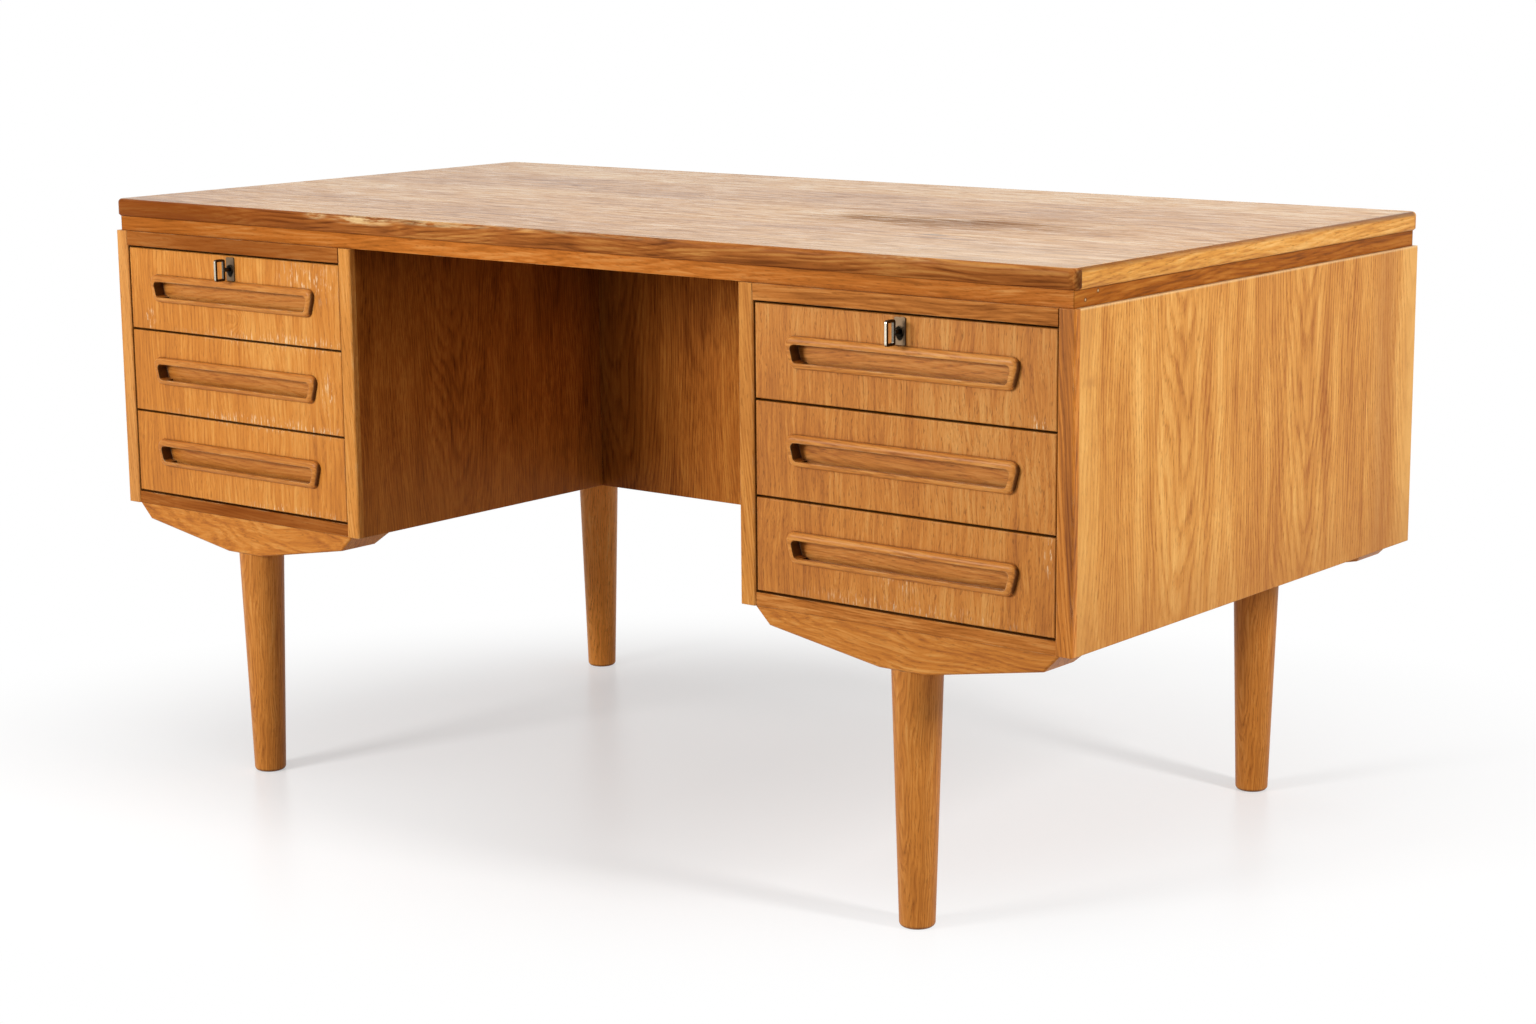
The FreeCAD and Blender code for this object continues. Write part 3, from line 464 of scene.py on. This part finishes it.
frontApronLook = {  # reddish brown bands with hardly any shine, darker at the left end, partly as painted shade
    "along": "x", "across": "z", "tones": ("#864a12", "#bf6f28", "#d99650"), "heart": (0, -350, 620),
    "heartDepth": 140, "bandSize": (7, 240), "gloss": 0.05,
    "marks": toneSpots([((-610, 0, 0), (500, 0, 0), "#8a470f", 0.4)]),
}
frontApron = woodMaterial(solid + "front sub-frame", frontApronLook)
endApronLook = {  # dark brown bands and two nail heads, each in a dark ring of painted shadow
    "along": "y", "across": "z", "tones": ("#663204", "#9c5612", "#b9762d"), "heart": (715, 0, 600),
    "heartDepth": 140, "bandSize": (6, 240), "band": 0.8, "gloss": 0.06, "marks": nailedFrameShadows,
}
endApron = woodMaterial(solid + "end sub-frame", endApronLook)
railsLook = {  # reddish brown bands, darker over the left drawers, partly as painted shade
    "along": "x", "across": "z", "tones": ("#7e4413", "#b87030", "#d4924e"), "heart": (0, -355, 600),
    "heartDepth": 120, "bandSize": (7, 240), "band": 0.75, "gloss": 0.05,
    "marks": toneSpots([((-508, 0, 690), (420, 0, 0), "#7a3a08", 0.75)]),
}
rails = woodMaterial(solid + "rails", railsLook)
bearersLook = {  # honey brown with a swaying figure
    "along": "x", "across": "z", "tones": ("#964f13", "#c27728", "#db9b4e"), "heart": (508, -351, 380),
    "heartDepth": 60, "tilt": 6, "ringWidth": 4.6, "ring": 0.22, "sway": 46, "swaySize": (80, 300),
    "bandSize": (10, 240), "band": 0.4,
}
bearers = woodMaterial("solid oak, sawn and lacquered, bearers", bearersLook)
pullsLook = {  # fine long bands; rims rubbed pale, partly as painted highlight; dark end grain and painted shade in the recess, darkest on its end walls; darker on the left, partly as painted shade
    "along": "x", "across": "z", "tones": ("#9a5620", "#ca8136", "#e2a256"), "heart": (508, -353, 560),
    "heartDepth": 150, "bandSize": (4, 110), "band": 0.5, "fibreSize": (1.7, 34), "rub": 0.8, "rubWidth": 2,
    # painted shade: corner darkening and dark end grain deepen the finger recess
    "grimeShadeReach": 12, "grimeShadeDepth": 0.75, "endGrain": 0.8, "endTone": "#2b1406", "roughness": 0.36,
    "marks": toneSpots([((-508, 0, 0), (420, 0, 0), "#9a550f", 0.35)]),
}
pulls = woodMaterial("solid oak, carved and lacquered, pulls", pullsLook)
lipLow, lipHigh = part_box("top_lippings")
apronLow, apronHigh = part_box("apron_rails")
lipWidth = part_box("top_panel")[0].x - lipLow.x
upward = 0.95  # least rise of a normal on the upper faces


def lipSide(point):
    if point.y < lipLow.y + lipWidth:
        return "front_lipping"
    if point.y > lipHigh.y - lipWidth:
        return "rear_lipping"
    return "left_lipping" if point.x < 0 else "right_lipping"


def apronSide(point):
    reach = {"front_apron": point.y - apronLow.y, "rear_apron": apronHigh.y - point.y,
             "left_apron": point.x - apronLow.x, "right_apron": apronHigh.x - point.x}
    return min(reach, key=reach.get)


splitNode("top_lippings", "desk", lipSide,
          {"front_lipping": frontLip, "rear_lipping": rearLip, "left_lipping": endLip, "right_lipping": endLip})
for side in ("front", "rear", "left", "right"):  # the veneer of the top runs out over its lippings
    lipping = bpy.data.objects[side + "_lipping"].data
    lipping.materials.append(topVeneer)
    for face in lipping.polygons:
        face.material_index = int(face.normal.z > upward)
splitNode("apron_rails", "desk", apronSide,
          {"front_apron": frontApron, "rear_apron": frontApron, "left_apron": endApron, "right_apron": endApron})
finishNodes(rails, lambda n: n == "top_rails" or n.endswith("_bottom_board"))
finishNodes(bearers, lambda n: n.endswith("_bearer"))
finishNodes(pulls, lambda n: n.endswith("_drawer_pull"))
print("solid oak laid")

# turned legs

legLook = {"footRound": 5, "roundSteps": 6, "turnSteps": 64, "topRadius": 28, "footRadius": 19.7, "tenon": 34,
           "tones": ("#945114", "#c47b30", "#dc9e53"), "paleTones": ("#c07020", "#f49c42", "#fcc070"),
           "pale": "left_rear_leg", "heartHeight": 150}
legGrain = {  # wavy rings run down the taper, and the left rear leg takes paler tones
    "heartDepth": 64, "tilt": 2, "sway": 24, "swaySize": (34, 150), "bandSize": (9, 200), "band": 0.4,
    "fibre": 0.42, "ringWidth": 2.8, "ring": 0.2,
}


def turnedLeg(name):
    low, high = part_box(name)
    middle = (low + high) / 2
    shoulder = high.z - legLook["tenon"] * mm
    top, foot, curve = (legLook[k] * mm for k in ("topRadius", "footRadius", "footRound"))
    profile = [(0.0, 0.0)]
    for step in range(legLook["roundSteps"] + 1):
        angle = math.pi / 2 * step / legLook["roundSteps"]
        profile.append((foot - curve + curve * math.sin(angle), curve - curve * math.cos(angle)))
    profile += [(top, shoulder), (0.0, shoulder)]
    bm = bmesh.new()
    verts = [bm.verts.new((middle.x + radius, middle.y, height)) for radius, height in profile]
    edges = [bm.edges.new(pair) for pair in zip(verts, verts[1:])]
    bmesh.ops.spin(bm, geom=verts + edges, cent=(middle.x, middle.y, 0), axis=(0, 0, 1), angle=2 * math.pi,
                   steps=legLook["turnSteps"], use_merge=True)
    bmesh.ops.remove_doubles(bm, verts=bm.verts, dist=weld)
    bmesh.ops.recalc_face_normals(bm, faces=bm.faces)
    tones = legLook["paleTones" if name == legLook["pale"] else "tones"]
    heart = (middle.x / mm, middle.y / mm, legLook["heartHeight"])
    oak = woodMaterial(f"solid oak, turned and lacquered, {name}", {**legGrain, "tones": tones, "heart": heart})
    leg = meshPiece(name + "_turned", bm, oak, "desk")
    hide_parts(name)


for node in [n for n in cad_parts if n.endswith("_leg")]:
    turnedLeg(node)
print("legs turned")

# drawer boxes, runners and floors

beechLook = {  # pale with fine flecks
    "along": "y", "across": "z", "tones": ("#b08455", "#d0a878", "#e2c39a"), "pore": "#9a6e42", "pores": 0.4,
    "ring": 0.15, "poreSize": (0.9, 5), "rub": 0.2,
}
beech = woodMaterial("beech, planed, drawer boxes", beechLook)
plywoodLook = {  # pale birch face with soft rings
    "along": "x", "across": "y", "tones": ("#b9935f", "#d6b586", "#e8cfa8"), "pore": "#b08a5e", "pores": 0.2,
    "ring": 0.3, "rub": 0.2,
}
plywood = woodMaterial("birch plywood, sanded, drawer floors", plywoodLook)
finishNodes(beech, lambda n: n.endswith(("_drawer_sides", "_drawer_back")) or n == "drawer_runners")
finishNodes(plywood, lambda n: n.endswith("_drawer_floor"))
print("drawer boxes finished")

# locks and keys

lockLook = {"cloud": 4, "edgeRound": 0.7, "front": {"From Min": 0.75, "From Max": 0.98}, "roughSpread": 0.2,
            "rubShineStart": -369, "rubShineFull": -377, "leastRubShine": 0.2, "keyAcross": 508,
            # the dark barrel reaches below the keyhole as painted shadow of the key
            "barrel": (6, 0, 9), "barrelHeight": 641, "barrelEdge": 0.12, "barrelAndShadowTone": "#14100a"}


def platedMetal(name, look, barrel=False):
    material, tree = newMaterial(name)
    place = addNode(tree, "TexCoord").outputs["Object"]
    cloudy = addNode(tree, "TexNoise", {"Scale": 1 / (lockLook["cloud"] * mm), "Detail": 3.0}, {"Vector": place})
    tones = {6: hexColor(look["tone"]), 7: hexColor(look["dull"])}
    color = addNode(tree, "Mix", {"data_type": "RGBA", **tones}, {0: cloudy}).outputs[2]
    eased = addNode(tree, "Bevel", {"samples": 6, "Radius": lockLook["edgeRound"] * mm})
    front = addNode(tree, "VectorMath", {"operation": "DOT_PRODUCT", 1: (0, -1, 0)}, {0: eased}).outputs["Value"]
    shown = addNode(tree, "MapRange", lockLook["front"], {"Value": front})
    if barrel:  # a lock: its face is rubbed evenly round a dark barrel, drawn taller and lower so that it also paints the key's shadow
        color = tinted(tree, color, look["rubbed"], shown)
        for side in (-1, 1):
            middle = (side * lockLook["keyAcross"], 0, lockLook["barrelHeight"])
            reach = spotMask(tree, place, middle, lockLook["barrel"])
            hole = addNode(tree, "MapRange", {"From Max": lockLook["barrelEdge"]}, {"Value": reach})
            color = tinted(tree, color, lockLook["barrelAndShadowTone"], hole)
    else:  # a key: a painted highlight on its front faces at the outer end, also standing for plate rubbed by fingers
        depth = addNode(tree, "SeparateXYZ", {}, {0: place}).outputs["Y"]
        start, full = lockLook["rubShineStart"] * mm, lockLook["rubShineFull"] * mm
        handled = addNode(tree, "MapRange", {"From Min": start, "From Max": full, "To Min": lockLook["leastRubShine"]},
                          {"Value": depth})
        mask = addNode(tree, "Math", {"operation": "MULTIPLY"}, {0: shown, 1: handled})
        color = tinted(tree, color, look["rubbed"], mask)
    spread = lockLook["roughSpread"]
    rough = addNode(tree, "Math", {"operation": "MULTIPLY_ADD", 1: spread, 2: look["roughness"] - spread / 2},
                    {0: cloudy})
    shader = addNode(tree, "BsdfPrincipled", {"Metallic": 1.0},
                     {"Base Color": color, "Roughness": rough, "Normal": eased})
    addNode(tree, "OutputMaterial", {}, {"Surface": shader})
    return material


# grey metal gone brown, with a painted highlight at the outer end where fingers also rub it
nickelLook = {"tone": "#4a4032", "dull": "#2a2219", "rubbed": "#cfc6b4", "roughness": 0.28}
nickel = platedMetal("nickel plate, rubbed, painted highlight, keys", nickelLook)
# brown tarnish all over, a little paler on the face
tarnishLook = {"tone": "#574a39", "dull": "#2f261b", "rubbed": "#75604a", "roughness": 0.4}
tarnish = platedMetal("nickel plate, tarnished, locks", tarnishLook, barrel=True)
finishNodes(nickel, lambda n: n.endswith("_key"))
finishNodes(tarnish, lambda n: n.endswith(("_lock", "_lock_bolt")))
print("locks fitted")

# floor, backdrop and light

stageLook = {"floorSize": 14, "seenPaper": "#ffffff", "bouncePaper": "#c4bfb8",
             "paperRough": 0.3, "paperGloss": 0.3, "whiteShare": 0.43, "fadeTurn": 38.5,
             "fadeCenter": (-0.05, 0.06, 0), "fadeReach": (1.3, 0.9, 1), "fadeStart": 0.45,
             "sky": "#ffffff", "fill": 0.34}


def seenStraight(tree):  # 1 for what is looked at, also in a reflection; 0 for light that bounces
    path = addNode(tree, "LightPath")
    seen = addNode(tree, "Math", {"operation": "MAXIMUM"},
                   {0: path.outputs["Is Camera Ray"], 1: path.outputs["Is Glossy Ray"]})
    return addNode(tree, "Math", {"operation": "MAXIMUM"}, {0: seen, 1: path.outputs["Is Transmission Ray"]})


def paperFloor():
    bm = bmesh.new()
    bmesh.ops.create_grid(bm, x_segments=1, y_segments=1, size=stageLook["floorSize"])
    mesh = bpy.data.meshes.new("floor")
    bm.to_mesh(mesh)
    bm.free()
    floor = bpy.data.objects.new("floor", mesh)
    bpy.context.scene.collection.objects.link(floor)
    # white, greyed by the shadow near the desk, with a faint reflection of it
    material, tree = newMaterial("white paper sweep, satin")
    place = addNode(tree, "TexCoord").outputs["Object"]
    turn = (0, 0, math.radians(stageLook["fadeTurn"]))
    inside = addNode(tree, "Mapping", {"vector_type": "TEXTURE", "Location": stageLook["fadeCenter"],
                                       "Rotation": turn, "Scale": stageLook["fadeReach"]}, {"Vector": place})
    away = addNode(tree, "VectorMath", {"operation": "LENGTH"}, {0: inside}).outputs["Value"]
    fade = addNode(tree, "MapRange", {"interpolation_type": "SMOOTHSTEP", "From Min": stageLook["fadeStart"],
                                      "To Min": stageLook["whiteShare"]}, {"Value": away})
    paper = addNode(tree, "BsdfPrincipled", {"Base Color": hexColor(stageLook["seenPaper"]),
                                             "Roughness": stageLook["paperRough"],
                                             "Specular IOR Level": stageLook["paperGloss"]})
    bounce = addNode(tree, "BsdfDiffuse", {"Color": hexColor(stageLook["bouncePaper"])})
    white = addNode(tree, "Emission", {"Strength": 1.0})
    shown = addNode(tree, "MixShader", {}, {0: fade, 1: paper, 2: white})
    whole = addNode(tree, "MixShader", {}, {0: seenStraight(tree), 1: bounce, 2: shown})
    addNode(tree, "OutputMaterial", {}, {"Surface": whole})
    mesh.materials.append(material)


def whiteStudio():
    world = bpy.data.worlds.new("white studio")
    bpy.context.scene.world = world
    world.use_nodes = True
    tree = world.node_tree
    tree.nodes.clear()
    level = addNode(tree, "MapRange", {"To Min": stageLook["fill"], "To Max": 1.0}, {"Value": seenStraight(tree)})
    sky = addNode(tree, "Background", {"Color": hexColor(stageLook["sky"])}, {"Strength": level})
    addNode(tree, "OutputWorld", {}, {"Surface": sky})


lampAim = Vector((0, 0, 0.4))
softboxes = {  # azimuth and elevation in degrees from the desk's front, distance and sides in metres, watts
    "rightSoftbox": {"azimuth": 88, "elevation": 24, "distance": 3.3, "sides": (0.4, 0.7), "watts": 53},
    "leftSoftbox": {"azimuth": -19, "elevation": 17, "distance": 3.4, "sides": (0.85, 0.7), "watts": 68},
    "overhead": {"azimuth": 30, "elevation": 80, "distance": 3.2, "sides": (2.6, 2.6), "watts": 30},
}


def addSoftbox(name, look):
    lamp = bpy.data.lights.new(name, "AREA")
    lamp.shape = "RECTANGLE"
    lamp.size, lamp.size_y = look["sides"]
    lamp.energy = look["watts"]
    turn, lift = math.radians(look["azimuth"]), math.radians(look["elevation"])
    away = Vector((math.sin(turn) * math.cos(lift), -math.cos(turn) * math.cos(lift), math.sin(lift)))
    box = bpy.data.objects.new(name, lamp)
    box.location = lampAim + away * look["distance"]
    box.rotation_euler = away.to_track_quat("Z", "Y").to_euler()
    bpy.context.scene.collection.objects.link(box)


paperFloor()
whiteStudio()
for name, look in softboxes.items():
    addSoftbox(name, look)
bpy.context.scene.view_settings.view_transform = "Standard"
print("studio lit")

# camera at the photograph's place; the picture is 1536 x 1024

cameraLook = {"azimuth": 38.55, "elevation": 10.98, "roll": -0.48, "distance": 3.673, "focalPixels": 2974.1,
              "pictureWidth": 1536, "sensor": 36, "aim": (0, 12, 400), "aimRight": 33.3, "aimUp": -59.43}


def addCamera(look):
    turn, lift, roll = (math.radians(look[k]) for k in ("azimuth", "elevation", "roll"))
    back = Vector((math.sin(turn) * math.cos(lift), -math.cos(turn) * math.cos(lift), math.sin(lift)))
    level = Vector((math.cos(turn), math.sin(turn), 0))
    upright = back.cross(level)
    right = level * math.cos(roll) + upright * math.sin(roll)
    up = upright * math.cos(roll) - level * math.sin(roll)
    spot = (Vector(look["aim"]) + right * look["aimRight"] + up * look["aimUp"]) * mm + back * look["distance"]
    lens = bpy.data.cameras.new("camera")
    lens.sensor_width = look["sensor"]
    lens.lens = look["focalPixels"] / look["pictureWidth"] * look["sensor"]
    camera = bpy.data.objects.new("camera", lens)
    camera.matrix_world = Matrix((right, up, back)).transposed().to_4x4()
    camera.location = spot
    bpy.context.scene.collection.objects.link(camera)
    bpy.context.scene.camera = camera


addCamera(cameraLook)
print("camera placed")
